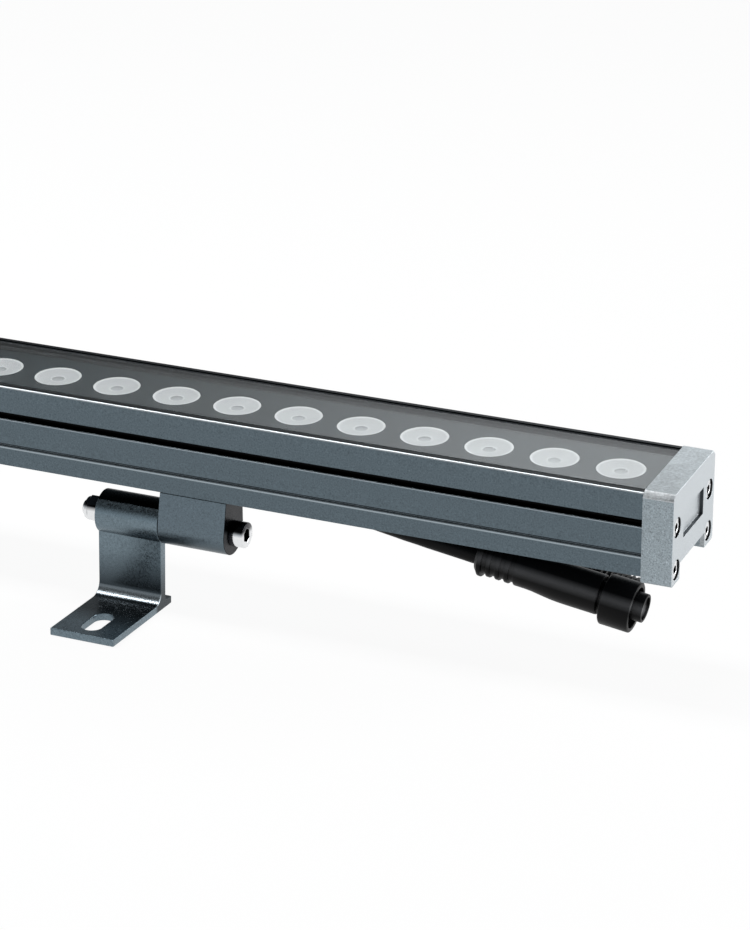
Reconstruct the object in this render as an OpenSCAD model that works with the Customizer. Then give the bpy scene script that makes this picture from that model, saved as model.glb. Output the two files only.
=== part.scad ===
// Outdoor wall washer light: a one metre extruded housing on two tilting feet.
// Lengths are in millimetres. The origin lies midway between the two fixing slots, on the plane
// that the feet are screwed to: +X runs along the bar, -Y is the front and +Z points up.

/* [Lenses] */
// Number of lenses, shared by three boards
lens_count = 36; // [18:6:60]
// Distance from one lens centre to the next
lens_pitch = 26.9; // [25:0.1:32]
// Diameter of the round openings in the mask
opening_d = 19.3; // [16:0.1:19.8]
// Diameter of a lens at its rim
lens_d = 20.4; // [20:0.1:23]
// From the last lens centre to the inner face of the end cap
end_margin = 17.1; // [16:0.1:30]

/* [Housing] */
// Width of the housing, front to back
body_w = 47.8; // [46.5:0.1:60]
// Height of the housing
body_h = 34.5; // [33:0.1:45]
// Width of the lip on each side of the glass
lip_w = 2.5; // [2:0.1:3]
// Thickness of the outer walls
wall_t = 2.4; // [2:0.1:3]
// Height of the wide groove along each face
groove_h = 2.9; // [2:0.1:3.5]
// Depth of that groove's centre below the lips
groove_drop = 12.6; // [12.2:0.1:13]
// Width of the fine line along each face
line_w = 1; // [0.6:0.1:1.4]
// Height of the fine line above the underside
line_z = 9.1; // [8:0.1:10]
// Thickness of the floor that carries the boards
floor_t = 2.2; // [1.8:0.1:2.8]

/* [Rail] */
// Width of the underside on each side of the channel
rim_w = 9.1; // [8.6:0.1:10]
// Depth of the channel
channel_d = 4; // [3:0.1:5]
// Width of the slot in the channel's roof
slot_w = 8.2; // [7.6:0.1:9.5]
// Width of the space above the slot, where the rail nut runs
rail_w = 14.4; // [13.6:0.1:16]
// Height of that space
rail_h = 6.1; // [5.6:0.1:7]
// Thickness of the channel's roof
roof_t = 2; // [1.5:0.1:2.4]

/* [Glass] */
// Thickness of the cover glass
glass_t = 4; // [3:0.1:5]
// How far the glass lies below the lips
glass_sink = 0.4; // [0.2:0.1:1]
// Width of the silicone seam along the glass
seam_w = 1.9; // [1.5:0.1:2.2]
// Width of the silicone seam at the ends of the glass
end_seam_w = 0.3; // [0.2:0.1:1]
// Thickness of the bed gasket under the glass
bed_t = 0.8; // [0.5:0.1:1.2]
// Thickness of the mask plate
mask_t = 1.2; // [0.8:0.1:1.6]

/* [End caps] */
// Thickness of an end cap along the bar
cap_t = 12.15; // [11:0.05:16]
// How far a cap stands proud of the housing's faces
cap_proud = 0.8; // [0.4:0.1:1.5]
// How far a cap stands above the lips
cap_rise = 0.7; // [0.4:0.1:1.5]
// How far a cap reaches below the housing
cap_drop = 2.4; // [1:0.1:3]
// Size of the bevel along a cap's top edges
cap_bevel = 2.2; // [1:0.1:2.6]
// Depth of the blank pocket in the end face
pocket_d = 1.6; // [1:0.1:2]
// Diameter of the cap screws
cap_screw_d = 4; // [3:0.5:4]
// Height of the lower cap screws above the underside
port_low_z = 3; // [2.8:0.1:3.2]

/* [Hinge] */
// Outer diameter of the knuckles
knuckle_d = 18; // [16:0.2:20]
// Diameter of the hinge bolt
bolt_d = 6; // [5:0.5:7]
// Depth of the hinge axis below the housing's underside
hinge_drop = 15.1; // [14:0.1:17]
// From the housing's centre line forward to the hinge axis
hinge_fore = 18; // [16.5:0.1:19]
// Length of a bracket along the bar
bracket_w = 29.3; // [27:0.1:34]
// Thickness of a bracket's saddle under the housing
saddle_t = 4; // [3:0.1:5]
// Tilt of the housing towards its front, in degrees
rest_tilt = 3.6; // [0:0.1:12]

/* [Feet] */
// Length of a foot along the bar
foot_w = 28.1; // [26:0.1:34]
// Depth of a foot's plate, front to back
plate_d = 50.5; // [46:0.1:70]
// Thickness of a foot's plate
plate_t = 3; // [2.5:0.1:4]
// Height of the hinge axis above the feet
hinge_h = 36.8; // [34:0.1:60]
// Thickness of a foot's leg
leg_t = 4; // [3:0.1:5]
// Radius of the inner corner between leg and plate
corner_r = 5.5; // [3:0.1:7]
// Width of the fixing slot
fix_slot_w = 8.4; // [6:0.1:10]
// Length of the fixing slot
fix_slot_l = 18; // [13:0.1:19]
// From the plate's front edge to the middle of the slot
fix_slot_y = 13.6; // [12:0.1:16]

/* [Cables] */
// Diameter of the two cables
cable_d = 7; // [6:0.1:7.4]
// Distance between the two cables where they leave the outlet
gland_gap = 16.4; // [15:0.1:17]
// Largest diameter of the connectors' bodies
plug_d = 16; // [15:0.1:18]
// Length of the connectors' bodies, up to the groove before the nut
plug_l = 51.2; // [44:0.1:60]
// Outer diameter of the coupling nut
nut_d = 20; // [19.6:0.1:21]
// Length of the coupling nut
nut_l = 12.5; // [11:0.5:16]
// Diameter of the plug's front barrel
barrel_d = 11.4; // [10.4:0.1:11.6]

/* [Hidden] */

$fn = 48;
cut = 1;                 // overrun of every cut
fit = 0.05;              // clearance of a clamped or turning fit
slack = 0.3;             // clearance of a loose fit

// lengths along the bar
boards = 3;
lens_span = (lens_count - 1) * lens_pitch;
body_l = lens_span + 2 * end_margin;
cap_x = body_l / 2;
per_board = lens_count / boards;

// heights in the housing, from its underside
groove_z = body_h - groove_drop;
roof_z = channel_d + roof_t;
floor_z = roof_z + rail_h;
board_z = floor_z + floor_t;
board_t = 1.6;
board_top = board_z + board_t;
glass_top = body_h - glass_sink;
glass_z = glass_top - glass_t;
ledge_z = glass_z - bed_t;
mask_gap = 0.1;
mask_z = ledge_z - mask_gap - mask_t;

// widths in the housing
seat_w = body_w - 2 * lip_w;
glass_w = seat_w - 2 * seam_w;
glass_l = body_l - 2 * end_seam_w;
bed_w = 2.1;
end_bed_w = 0.8;
mask_seat_w = glass_w - 2 * bed_w;
mask_ledge = 1.2;
chamber_w = mask_seat_w - 2 * mask_ledge;
channel_w = body_w - 2 * rim_w;
port_d = cap_screw_d + 2 * fit;
port_inset = 4.8;
port_y = body_w / 2 - port_inset;
port_high_z = groove_z - groove_h / 2;
rib_t = 1.8;
pocket_top = port_high_z - port_d / 2 - 0.4 * rib_t;
edge_r = 0.9;
groove_r = 0.5;
line_r = 1;
line_d = 1;

// boards and what is on them
board_w = chamber_w - 2 * slack;
board_l = per_board * lens_pitch - 2 * slack;
board_screw_d = 3;
board_screw_l = 5;
board_head_d = 5.4;
board_head_h = 1.8;
board_screw_y = 0.36 * board_w;
lens_foot_d = 13;
lens_foot_h = 2;
lens_neck_d = 10;
lens_rim_h = 1.2;
lens_cavity_d = 6.4;
lens_cavity_h = 4.6;
lens_boss_d = opening_d - 4 * fit;
dish_d = 18.3;
dish_depth = 1.2;
pit_d = 5;
pit_depth = 0.5;
dish_steps = 5;
chip_w = 3.5;
chip_h = 0.8;
dome_d = 2.8;
reg_size = [4.9, 3.9, 1.5];
reg_shares = [0.25, 0.42, 0.6];
link_size = [9, 6, 4];
terminal_size = [6, 7, 5];
terminal_shift = 0.6;

// end caps
cap_w = body_w + 2 * cap_proud;
cap_corner_r = 1.5;
gasket_t = 1;
gasket_inset = 0.5;
tongue_l = 3;
tongue_h = 8;
tongue_w = chamber_w - 4 * slack;
tongue_z = board_top + 1.2;
pocket_w = 0.48 * cap_w;
pocket_h = 11.1;
pocket_z = 13.1;
cap_head_d = 7.2;
cap_head_h = 4;
cap_head_sink = 0.5;
cap_cbore_d = cap_head_d + 3 * slack;
cap_screw_l = 20;
cap_hex = 3;
cap_hex_d = 2;

// cable outlet under the housing, between two lenses
outlet_shift = 3.65;
outlet_x = per_board * lens_pitch + outlet_shift;
outlet_fore = 6.5;
outlet_aft = 14.5;
outlet_key_w = channel_w - 4 * slack;
outlet_seal_t = 1;
outlet_top = channel_d - outlet_seal_t;
gland_z = -1.7;
outlet_flank_r = outlet_top - gland_z - fit;
outlet_low = outlet_flank_r - gland_z;
spigot_d = 10;
spigot_bore_d = 6.4;
outlet_hall = [9, 23, 5.4];
outlet_screw_d = 4;
outlet_screw_x = 10;
outlet_screw_l = 17;
outlet_nut_l = 8;
gland_d = 10;
gland_l = 9.8;
gland_stub_d = 8.4;
gland_stub_l = 6;
gland_mouth_x = outlet_x + outlet_aft + slack + gland_l;
gland_taper = 3;
gland_tip_d = 8.2;
wire_d = 1.4;
wire_step = 1.6;
bundle_d = 3;
splice_size = [5, 20, 3.6];

// the bar's brackets and feet
slide_room = 4.8;
bracket_x = outlet_x - outlet_fore - slide_room - bracket_w / 2;
joint_gap = 0.3;
foot_x = bracket_x - bracket_w / 2 - joint_gap - foot_w / 2;
key_h = channel_d - 4 * fit;
key_w = channel_w - 2 * slack;
saddle_back = 0.42 * body_w;
rail_nut_t = 4.5;
rail_nut_l = 0.88 * bracket_w;
rail_screw_d = 5;
rail_screw_x = 0.27 * bracket_w;
rail_screw_l = 14;
rail_head_d = 8.5;
rail_head_h = 5;
rail_hex = 4;
leg_set = 1.5;
heel = 3.7;
heel_r = 1.5;
hinge_y = plate_d - fix_slot_y - heel;
slot_reach = (fix_slot_l - fix_slot_w) / 2;
fore_edge = [-body_w / 2, -2 * fit];
axle = [-hinge_fore, -hinge_drop];
axle_far = norm(axle - fore_edge);
lean = asin(knuckle_d / 2 / axle_far) - atan2(axle[0] - fore_edge[0], fore_edge[1] - axle[1]);
tangent_l = sqrt(pow(axle_far, 2) - pow(knuckle_d / 2, 2));
tangent = fore_edge - tangent_l * [sin(lean), cos(lean)];
head_d = 1.75 * bolt_d;
head_h = bolt_d;
bolt_hex = 0.83 * bolt_d;
bolt_hex_d = 0.55 * bolt_d;
washer_d = 2 * bolt_d;
washer_t = 1.2;
nut_h = 6;
nut_flats = 10 / 6 * bolt_d;
nut_collar_h = 1.6;
bolt_tip = 1.5;
bolt_span = bracket_w + joint_gap + foot_w + fit;
bolt_l = bolt_span + washer_t + nut_h + bolt_tip;

// routes of the free cables from the gland's mouth: along the bar, across it and down
front_route = [[0, 0, 0], [5, 0, -0.1], [10, -0.1, -0.5], [15, -0.2, -1.1], [20, -0.3, -1.8],
               [25, -0.5, -2.6], [30, -0.6, -3.4], [35, -0.8, -4.2], [40, -0.9, -4.9],
               [45, -1, -5.7], [50, -1.1, -6.4], [55, -1.2, -7.1], [60, -1.3, -7.8],
               [63, -1.3, -8.3], [66, -1.3, -8.7]];
rear_route = [[0, 0, 0], [5, 0, -0.2], [10, 0.1, -0.8], [15, 0.2, -1.7], [20, 0.4, -2.8],
              [25, 0.6, -4], [30, 0.7, -5.2], [35, 0.9, -6.4], [40, 1.1, -7.6],
              [45, 1.2, -8.7], [48, 1.3, -9.4], [51.5, 1.3, -10.1], [55, 1.3, -10.8]];
front_droop = 8.2;
rear_droop = 11.3;
cable_sides = 10;
ring_step = 2;

// connectors, along their own axes from the cable's end
tail_l = 21;
tail_d = 13.6;
tail_tip_d = 11.6;
tail_flange_d = 15;
tail_flange_l = 3;
tail_ribs = 4;
tail_rib_l = 3.84;
tail_rib_d = 0.9;
rib_shares = [[1, 0.1], [1, 0.4], [0, 0.5], [0, 0.8]];
plug_grow_l = 14;
neck_l = 1.5;
nut_play = 1;
nut_lip_d = barrel_d + 2 * nut_play + 2 * slack;
nut_lip_l = 2.5;
keeper_t = 1.2;
keeper_d = barrel_d + 2 * keeper_t;
nut_bore_d = keeper_d + 2 * nut_play + 2 * slack;
keeper_x = plug_l + neck_l + nut_lip_l + slack;
keeper_l = 1.6;
nut_bevel = 0.8;
barrel_out = 3.8;
barrel_l = plug_l + neck_l + nut_l + barrel_out;
barrel_rim = 1.1;
barrel_sink = 1;
contact_r = 2.4;
contact_d = 1.6;
contact_l = 9;
contacts = 3;
collar_l = 18;
collar_d = nut_bore_d - 4 * fit;
socket_d = 11.8;
socket_depth = 12;
pin_l = 7;
pin_d = 1.2;
thread_pitch = 2;
thread_d = 0.6;

// Stands the children, drawn with the underside of the housing at zero, on the tilted hinge axis.
module on_housing()
    translate([0, hinge_y, hinge_h]) rotate([rest_tilt, 0, 0])
        translate([0, hinge_fore, hinge_drop]) children();

// Extrudes an outline of depth and height along the bar.
module along_bar(l) rotate([90, 0, 90]) linear_extrude(l, center = true) children();

// Places the children at the right end, or mirrored at the left one.
module on_side(side) mirror([side < 0 ? 1 : 0, 0, 0]) children();

// What lies between a corner towards +x and +y and its arc: cut off outside, filled in inside.
module off_corner(r) difference() {
    square([r + cut, r + cut]);
    circle(r);
}

module box(x, y, z) translate([-x / 2, -y / 2, 0]) cube([x, y, z]);

// Housing

module housing_outline() difference() {
    translate([-body_w / 2, 0]) square([body_w, body_h]);
    for (s = [-1, 1]) scale([s, 1]) housing_edges();
}

module housing_edges() {
    translate([body_w / 2 - edge_r, body_h - edge_r]) off_corner(edge_r);
    translate([body_w / 2 - port_inset, groove_z - groove_h / 2])
        square([port_inset + cut, groove_h]);
    translate([body_w / 2 - groove_r, groove_z - groove_h / 2 - groove_r])
        off_corner(groove_r);
    translate([body_w / 2 - line_d, line_z - line_w / 2]) square([line_d + cut, line_w]);
    translate([body_w / 2 - line_r, line_z - line_w / 2 - line_r]) off_corner(line_r);
}

module housing_hollows() {
    translate([-seat_w / 2, ledge_z]) square([seat_w, body_h]);
    translate([-mask_seat_w / 2, mask_z]) square([mask_seat_w, body_h]);
    translate([-chamber_w / 2, board_z]) square([chamber_w, body_h]);
    translate([-channel_w / 2, -cut]) square([channel_w, channel_d + cut]);
    translate([-slot_w / 2, 0]) square([slot_w, floor_z]);
    translate([-rail_w / 2, roof_z]) square([rail_w, rail_h]);
    for (s = [-1, 1]) scale([s, 1]) {
        for (z = [port_low_z, port_high_z]) translate([port_y, z]) circle(port_d / 2);
        translate([rail_w / 2 + rib_t, roof_z])
            square([body_w / 2 - wall_t - rail_w / 2 - rib_t, rail_h]);
        if (pocket_top > board_z + rib_t) translate([chamber_w / 2 + rib_t, board_z])
            square([body_w / 2 - wall_t - chamber_w / 2 - rib_t, pocket_top - board_z]);
    }
}

module housing_extrusion() color([0.345, 0.385, 0.415]) on_housing() difference() {
    along_bar(body_l) difference() {
        housing_outline();
        housing_hollows();
    }
    at_board_screws() translate([0, 0, floor_z - cut])
        cylinder(d = board_screw_d + 2 * fit, h = floor_t + 2 * cut);
    translate([outlet_x, 0, channel_d - cut])
        cylinder(d = spigot_d + 2 * slack, h = board_z - channel_d + 2 * cut);
}

// Glass, seals and mask

module frame_ring(x, y, end_w, side_w, h) difference() {
    box(x, y, h);
    translate([0, 0, -cut]) box(x - 2 * end_w, y - 2 * side_w, h + 2 * cut);
}

module cover_glass() color([0.75, 0.8, 0.82, 0.35]) on_housing()
    translate([0, 0, glass_z]) box(glass_l, glass_w, glass_t);

module glass_seam() color([0.09, 0.1, 0.11]) on_housing()
    translate([0, 0, ledge_z])
        frame_ring(body_l, seat_w, end_seam_w, seam_w, glass_top - ledge_z - glass_sink / 2);

module glass_bed() color([0.12, 0.12, 0.12]) on_housing()
    translate([0, 0, ledge_z]) frame_ring(glass_l, glass_w, end_bed_w, bed_w, bed_t);

module mask_plate() color([0.16, 0.18, 0.2]) on_housing() difference() {
    translate([0, 0, mask_z]) box(body_l - 2 * slack, mask_seat_w - 2 * slack, mask_t);
    for (i = [0 : lens_count - 1]) translate([lens_x(i), 0, mask_z - cut])
        cylinder(d = opening_d, h = mask_t + 2 * cut);
}

function lens_x(i) = i * lens_pitch - lens_span / 2;

// Lenses, boards and their parts: board 0 is the left one

module at_lenses(b) for (i = [b * per_board : (b + 1) * per_board - 1])
    translate([lens_x(i), 0, board_top]) children();

module at_board_screws() for (b = [0 : boards - 1], i = [1, per_board - 3], s = [-1, 1])
    translate([lens_x(b * per_board + i) + lens_pitch / 2, s * board_screw_y, 0]) children();

// A lens stands on its board; its boss fills the mask's opening, flush with the mask's top.
module lens() {
    rim_top = mask_z - board_top - fit;
    h = mask_z + mask_t - board_top;
    dish = [for (i = [0 : dish_steps])
        let (r = dish_d / 2 - i * (dish_d - pit_d) / 2 / dish_steps)
        [r, h - dish_depth * (1 - pow(2 * r / dish_d, 2))]];
    floor_h = dish[dish_steps][1] - pit_depth;
    rotate_extrude() polygon(concat([[0, lens_cavity_h], [lens_cavity_d / 2, lens_cavity_h],
        [lens_cavity_d / 2, 0], [lens_foot_d / 2, 0], [lens_foot_d / 2, lens_foot_h],
        [lens_neck_d / 2, lens_foot_h], [lens_d / 2, rim_top - lens_rim_h],
        [lens_d / 2, rim_top], [lens_boss_d / 2, rim_top], [lens_boss_d / 2, h]],
        dish, [[pit_d / 2, floor_h], [0, floor_h]]));
}

module lens_row(b) color([0.9, 0.91, 0.92]) on_housing() at_lenses(b) lens();

module led_board(b) color([0.9, 0.9, 0.88]) on_housing() difference() {
    translate([(b - (boards - 1) / 2) * per_board * lens_pitch, 0, board_z])
        box(board_l, board_w, board_t);
    at_board_screws() translate([0, 0, board_z - cut])
        cylinder(d = board_screw_d + 2 * slack, h = board_t + 2 * cut);
    translate([outlet_x, 0, board_z - cut]) cylinder(d = spigot_bore_d, h = board_t + 2 * cut);
}

module led_chips(b) color([0.95, 0.85, 0.4]) on_housing() at_lenses(b) {
    box(chip_w, chip_w, chip_h);
    difference() {
        translate([0, 0, chip_h]) sphere(d = dome_d);
        translate([0, 0, -dome_d]) box(2 * dome_d, 2 * dome_d, dome_d + chip_h / 2);
    }
}

module regulators(b) color([0.13, 0.13, 0.14]) on_housing()
    for (share = reg_shares)
        translate([lens_x(b * per_board + floor(share * per_board)) + lens_pitch / 2,
            board_screw_y, board_top]) box(reg_size[0], reg_size[1], reg_size[2]);

module board_screws() color("silver") on_housing() at_board_screws() {
    translate([0, 0, board_top - board_screw_l])
        cylinder(d = board_screw_d, h = board_screw_l + cut);
    translate([0, 0, board_top]) cylinder(d = board_head_d, h = board_head_h);
}

module board_links() color([0.93, 0.93, 0.9]) on_housing() for (b = [1 : boards - 1])
    translate([(b - boards / 2) * per_board * lens_pitch, 0, board_top])
        box(link_size[0], link_size[1], link_size[2]);

// End gaskets, caps and their screws

module cap_section() difference() {
    top = body_h + cap_rise;
    half = cap_w / 2;
    polygon([[-half, -cap_drop], [half, -cap_drop],
        [half, top - cap_bevel], [half - cap_bevel, top],
        [cap_bevel - half, top], [-half, top - cap_bevel]]);
    translate([-channel_w / 2, -cap_drop - cut])
        square([channel_w, channel_d + cap_drop + cut]);
    for (s = [-1, 1]) scale([s, -1]) translate([half - cap_corner_r,
        cap_drop - cap_corner_r]) off_corner(cap_corner_r);
}

module at_ports() for (y = [-port_y, port_y], z = [port_low_z, port_high_z])
    translate([0, y, z]) rotate([0, 90, 0]) children();

// The gasket's outline, drawn smaller by the inset all round.
module gasket_section(inset) difference() {
    translate([inset - body_w / 2, inset]) square([body_w - 2 * inset, body_h - 2 * inset]);
    translate([-channel_w / 2 - inset, -cut]) square([channel_w + 2 * inset, channel_d + inset + cut]);
}

module end_gasket(side) color([0.1, 0.1, 0.1]) on_housing() on_side(side) difference() {
    translate([cap_x + gasket_t / 2, 0, 0]) along_bar(gasket_t)
        gasket_section(gasket_inset + fit);
    translate([cap_x + gasket_t / 2, 0, tongue_z - slack])
        box(gasket_t + cut, tongue_w + 2 * slack, tongue_h + 2 * slack);
    translate([cap_x - cut, 0, 0]) at_ports()
        cylinder(d = cap_screw_d + slack, h = gasket_t + 2 * cut);
}

module end_cap(side) color([0.66, 0.69, 0.71]) on_housing() on_side(side) difference() {
    union() {
        difference() {
            translate([cap_x + cap_t / 2, 0, 0]) along_bar(cap_t) cap_section();
            translate([cap_x, 0, 0]) along_bar(2 * gasket_t) gasket_section(gasket_inset);
        }
        translate([cap_x + (gasket_t - tongue_l) / 2, 0, tongue_z])
            box(tongue_l + gasket_t + fit, tongue_w, tongue_h);
    }
    translate([cap_x + cap_t, 0, pocket_z]) box(2 * pocket_d, pocket_w, pocket_h);
    translate([cap_x - cut, 0, 0]) at_ports()
        cylinder(d = cap_screw_d + slack, h = cap_t + 2 * cut);
    translate([cap_x + cap_t - cap_head_h - cap_head_sink, 0, 0]) at_ports()
        cylinder(d = cap_cbore_d, h = cap_head_h + cap_head_sink + cut);
}

module socket_screw(d, l, hd, hh, hex, hex_depth) {
    translate([0, 0, -l]) cylinder(d = d, h = l + hh / 2);
    difference() {
        cylinder(d = hd, h = hh);
        translate([0, 0, hh - hex_depth])
            cylinder(d = hex / cos(30), h = hex_depth + cut, $fn = 6);
    }
}

module cap_screws(side) color([0.85, 0.86, 0.87]) on_housing() on_side(side)
    translate([cap_x + cap_t - cap_head_h - cap_head_sink, 0, 0]) at_ports()
        socket_screw(cap_screw_d, cap_screw_l, cap_head_d, cap_head_h, cap_hex, cap_hex_d);

// Cable outlet under the housing

module at_outlet_screw() translate([outlet_x + outlet_screw_x, 0, 0]) children();

module at_glands() for (s = [-1, 1]) translate([0, s * gland_gap / 2, gland_z])
    rotate([0, 90, 0]) children();

// The block is rounded about the two cables; its key lies in the channel.
module outlet_section() {
    for (s = [-1, 1]) translate([s * gland_gap / 2, gland_z]) circle(outlet_flank_r);
    translate([-gland_gap / 2, -outlet_low]) square([gland_gap, outlet_low]);
    translate([-gland_gap / 2 - outlet_flank_r, gland_z])
        square([gland_gap + 2 * outlet_flank_r, -gland_z]);
    translate([-outlet_key_w / 2, 0]) square([outlet_key_w, outlet_top]);
}

module outlet_block() color([0.09, 0.09, 0.1]) on_housing() difference() {
    union() {
        translate([outlet_x + (outlet_aft - outlet_fore) / 2, 0, 0])
            along_bar(outlet_fore + outlet_aft) outlet_section();
        translate([outlet_x, 0, outlet_top - cut])
            cylinder(d = spigot_d, h = board_z - outlet_top + cut - slack);
        translate([outlet_x + outlet_aft - cut, 0, 0]) at_glands()
            cylinder(d = gland_stub_d, h = gland_stub_l + cut);
    }
    translate([outlet_x, 0, -outlet_low + 1.5 * rib_t])
        box(outlet_hall[0], outlet_hall[1], outlet_hall[2]);
    translate([outlet_x, 0, 0]) cylinder(d = spigot_bore_d, h = board_z + cut);
    translate([outlet_x, 0, 0]) at_glands()
        cylinder(d = cable_d + 2 * fit, h = outlet_aft + gland_stub_l + cut);
    at_outlet_screw() translate([0, 0, -outlet_low - cut])
        cylinder(d = outlet_screw_d + 2 * slack, h = outlet_low + outlet_top + 2 * cut);
}

module outlet_gasket() color([0.15, 0.15, 0.15]) on_housing() difference() {
    translate([outlet_x + (outlet_aft - outlet_fore) / 2, 0, outlet_top])
        box(outlet_fore + outlet_aft, outlet_key_w, outlet_seal_t);
    translate([outlet_x, 0, 0]) cylinder(d = spigot_d + 2 * fit, h = board_z);
    at_outlet_screw() cylinder(d = outlet_screw_d + 2 * slack, h = board_z);
}

module outlet_screw() color("silver") on_housing() at_outlet_screw() rotate([180, 0, 0])
    translate([0, 0, outlet_low])
        socket_screw(outlet_screw_d, outlet_screw_l, 1.8 * outlet_screw_d,
            outlet_screw_d / 2, outlet_screw_d / 2, outlet_screw_d / 3);

module outlet_nut() color([0.75, 0.76, 0.77]) on_housing() difference() {
    translate([outlet_x + outlet_screw_x, 0, roof_z + fit])
        box(outlet_nut_l, rail_w - 2 * slack, rail_nut_t);
    at_outlet_screw() cylinder(d = outlet_screw_d + 2 * fit, h = floor_z);
}

module gland_nut(s) color([0.1, 0.1, 0.11]) on_housing()
    translate([gland_mouth_x - gland_l, s * gland_gap / 2, gland_z]) rotate([0, 90, 0])
        difference() {
            rotate_extrude() polygon([[0, 0], [gland_d / 2, 0],
                [gland_d / 2, gland_l - gland_taper], [gland_tip_d / 2, gland_l], [0, gland_l]]);
            translate([0, 0, -cut]) cylinder(d = gland_stub_d + 2 * fit, h = gland_stub_l + cut);
            translate([0, 0, -cut]) cylinder(d = cable_d + 2 * fit, h = gland_l + 2 * cut);
        }

module cable_tails() color([0.08, 0.08, 0.09]) on_housing()
    translate([outlet_x + outlet_hall[0] / 2, 0, 0]) at_glands()
        cylinder(d = cable_d, h = gland_mouth_x - outlet_x - outlet_hall[0] / 2);

module terminal_block() color([0.15, 0.42, 0.3]) on_housing()
    translate([outlet_x - terminal_shift, 0, board_top])
        box(terminal_size[0], terminal_size[1], terminal_size[2]);

// The cores of both cables meet in a splice in the outlet's hall and rise to the terminal.
module supply_wires() color([0.5, 0.2, 0.15]) on_housing() translate([outlet_x, 0, gland_z]) {
    translate([0, 0, -splice_size[2] / 2])
        box(splice_size[0], splice_size[1], splice_size[2]);
    for (k = [-1, 0, 1]) translate([0, k * wire_step, 0])
        cylinder(d = wire_d, h = board_top - gland_z);
    for (s = [-1, 1]) translate([0, s * gland_gap / 2, 0]) rotate([0, 90, 0])
        cylinder(d = bundle_d, h = outlet_hall[0] / 2);
}

// Cables: a tube swept along its route

function sub(a, b) = [a[0] - b[0], a[1] - b[1], a[2] - b[2]];
function route_dir(r, i) = let (d = sub(r[min(i + 1, len(r) - 1)], r[max(i - 1, 0)])) d / norm(d);
function end_dir(r, i, droop) = i == 0 ? [1, 0, 0]
    : i == len(r) - 1 ? [cos(droop), 0, -sin(droop)] : route_dir(r, i);
function ring(r, i, droop) = let (d = end_dir(r, i, droop), u = [0, 1, 0],
    v = cross(d, u) / norm(cross(d, u)), w = cross(v, d))
    [for (k = [0 : cable_sides - 1]) let (a = 360 * k / cable_sides)
        r[i] + cable_d / 2 * (cos(a) * w + sin(a) * v)];

module cable(route, s, droop) {
    picks = [for (i = [0 : ring_step : len(route) - 1]) i];
    points = [for (i = picks) each ring(route, i, droop)];
    n = cable_sides;
    sides = [for (i = [0 : len(picks) - 2], k = [0 : n - 1])
        let (a = i * n + k, b = i * n + (k + 1) % n)
        each [[a, b, b + n], [a, b + n, a + n]]];
    last = (len(picks) - 1) * n;
    ends = concat([for (k = [1 : n - 2]) [0, k + 1, k]],
        [for (k = [1 : n - 2]) [last, last + k, last + k + 1]]);
    color([0.08, 0.08, 0.09]) on_housing()
        translate([gland_mouth_x, s * gland_gap / 2, gland_z])
            polyhedron(points, concat(sides, ends));
}

// Connectors, drawn along +Z from the cable's end

module on_cable_end(route, s, droop) on_housing()
    translate([gland_mouth_x, s * gland_gap / 2, gland_z]) translate(route[len(route) - 1])
        rotate([0, 90 + droop, 0]) children();

module tail_shape() rotate_extrude() polygon(concat([[0, 0], [tail_tip_d / 2, 0],
    [tail_flange_d / 2, tail_flange_l / 2], [tail_flange_d / 2, tail_flange_l]],
    [for (i = [0 : tail_ribs - 1], p = rib_shares)
        [tail_d / 2 - p[0] * tail_rib_d, tail_flange_l + (i + p[1]) * tail_rib_l]],
    [[tail_d / 2, tail_l], [0, tail_l]]));

module on_plug() on_cable_end(front_route, -1, front_droop) children();

module on_socket() on_cable_end(rear_route, 1, rear_droop) children();

module plug_tail() color([0.09, 0.09, 0.1]) on_plug() tail_shape();

module socket_tail() color([0.09, 0.09, 0.1]) on_socket() tail_shape();

module body_shape() rotate_extrude() polygon([[0, tail_l], [tail_d / 2, tail_l],
    [plug_d / 2, tail_l + plug_grow_l], [plug_d / 2, plug_l - nut_bevel],
    [plug_d / 2 - nut_bevel, plug_l], [0, plug_l]]);

module at_contacts() for (i = [0 : contacts - 1]) rotate([0, 0, 360 * i / contacts])
    translate([contact_r, 0, 0]) children();

module plug_body() color([0.09, 0.09, 0.1]) on_plug() difference() {
    union() {
        body_shape();
        translate([0, 0, plug_l - cut]) cylinder(d = barrel_d, h = barrel_l - plug_l + cut);
        translate([0, 0, keeper_x]) cylinder(d = keeper_d, h = keeper_l);
    }
    translate([0, 0, barrel_l - barrel_sink])
        cylinder(d = barrel_d - 2 * barrel_rim, h = barrel_sink + cut);
    at_contacts() translate([0, 0, barrel_l - contact_l])
        cylinder(d = contact_d, h = contact_l + cut);
}

module plug_contacts() color([0.85, 0.7, 0.35]) on_plug() at_contacts()
    translate([0, 0, barrel_l - contact_l]) difference() {
        cylinder(d = contact_d - 2 * fit, h = contact_l - barrel_sink - slack);
        translate([0, 0, contact_l / 3]) cylinder(d = contact_d / 2, h = contact_l);
    }

// The coupling nut hangs on the barrel by its own play.
module plug_nut() color([0.1, 0.1, 0.11]) on_plug()
    translate([nut_play, 0, plug_l + neck_l]) difference() {
        rotate_extrude() polygon([[0, 0], [nut_d / 2 - nut_bevel, 0], [nut_d / 2, nut_bevel],
            [nut_d / 2, nut_l - nut_bevel / 2], [nut_d / 2 - nut_bevel / 2, nut_l], [0, nut_l]]);
        translate([0, 0, -cut]) cylinder(d = nut_lip_d, h = nut_l + 2 * cut);
        translate([0, 0, nut_lip_l]) cylinder(d = nut_bore_d, h = nut_l);
    }

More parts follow.
